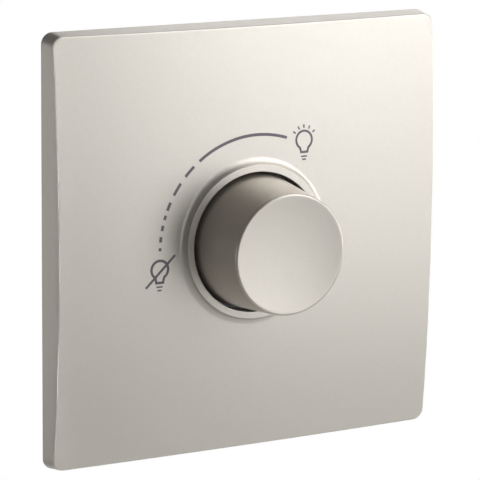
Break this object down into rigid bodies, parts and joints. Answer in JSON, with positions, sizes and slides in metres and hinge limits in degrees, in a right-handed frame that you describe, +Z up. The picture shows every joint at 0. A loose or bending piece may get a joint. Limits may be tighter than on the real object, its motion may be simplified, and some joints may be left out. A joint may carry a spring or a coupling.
{
  "type": "rotary dimmer switch",
  "caption": "Square crowned wall plate with a round collar and a plain dished rotary knob on a dimmer module, screwed to a flush wall box.",
  "frame": {"origin": "middle of the two box-screw slots, on the wall plane", "axes": "+X to the right seen from the front, +Z up, +Y into the wall along the knob's axis"},
  "size_m": [0.086, 0.0472, 0.086],
  "materials": {
    "pearl_plastic": "satin pearl paint on a moulding",
    "pearl_plastic_knob": "satin pearl paint on a moulding",
    "spring_steel": "hardened spring strip",
    "frame_nylon": "light grey glass-filled nylon",
    "sink_aluminium": "mill finish sheet",
    "housing_plastic": "fine spark-eroded black moulding",
    "zinc_plated_steel": "bright zinc plating",
    "block_plastic": "light grey moulding",
    "brass": "machined brass",
    "terminal_steel": "zinc-plated slotted screw",
    "die_cast_zinc": "die-cast zinc",
    "track_carrier_plastic": "brown phenolic moulding",
    "tinned_steel": "tinned strip",
    "shaft_aluminium": "turned aluminium",
    "board_laminate": "green lacquered laminate",
    "silicone_pad": "thin grey insulating pad",
    "epoxy_black": "moulded epoxy",
    "iron_powder": "lacquered powder core",
    "copper_wire": "enamelled copper wire",
    "capacitor_plastic": "moulded film capacitor box",
    "fuse_glass": "glass tube with plated caps",
    "resistor_lacquer": "lacquered resistor body"
  },
  "bodies": {
    "base": {"cover_plate": "pearl_plastic", "support_frame": "frame_nylon", "heat_sink_plate": "sink_aluminium", "rear_housing": "housing_plastic", "housing_screws": "zinc_plated_steel", "terminal_block": "block_plastic", "line_terminal_clamp": "brass", "load_terminal_clamp": "brass", "loop_terminal_clamp": "brass", "line_terminal_screw": "terminal_steel", "load_terminal_screw": "terminal_steel", "loop_terminal_screw": "terminal_steel", "potentiometer_bushing": "die_cast_zinc", "potentiometer_body": "track_carrier_plastic", "potentiometer_switch_can": "tinned_steel", "potentiometer_pins": "tinned_steel", "bushing_washer": "zinc_plated_steel", "bushing_nut": "zinc_plated_steel", "circuit_board": "board_laminate", "triac_pad": "silicone_pad", "triac_body": "epoxy_black", "triac_tab": "tinned_steel", "triac_leads": "tinned_steel", "triac_screw": "zinc_plated_steel", "choke_core": "iron_powder", "choke_winding": "copper_wire", "filter_capacitor": "capacitor_plastic", "timing_capacitor": "capacitor_plastic", "fuse": "fuse_glass", "fuse_clips": "tinned_steel", "resistors": "resistor_lacquer", "resistor_leads": "tinned_steel", "diac": "epoxy_black", "diac_leads": "tinned_steel"},
    "knob_and_shaft": {"knob": "pearl_plastic_knob", "knob_spring_ring": "spring_steel", "potentiometer_shaft": "shaft_aluminium"}
  },
  "joints": [
    {"name": "knob_turn", "type": "hinge", "parent": "base", "child": "knob_and_shaft", "pos_m": [0, 0, 0], "axis": [0, 1, 0], "range_deg": [0, 300]}
  ]
}
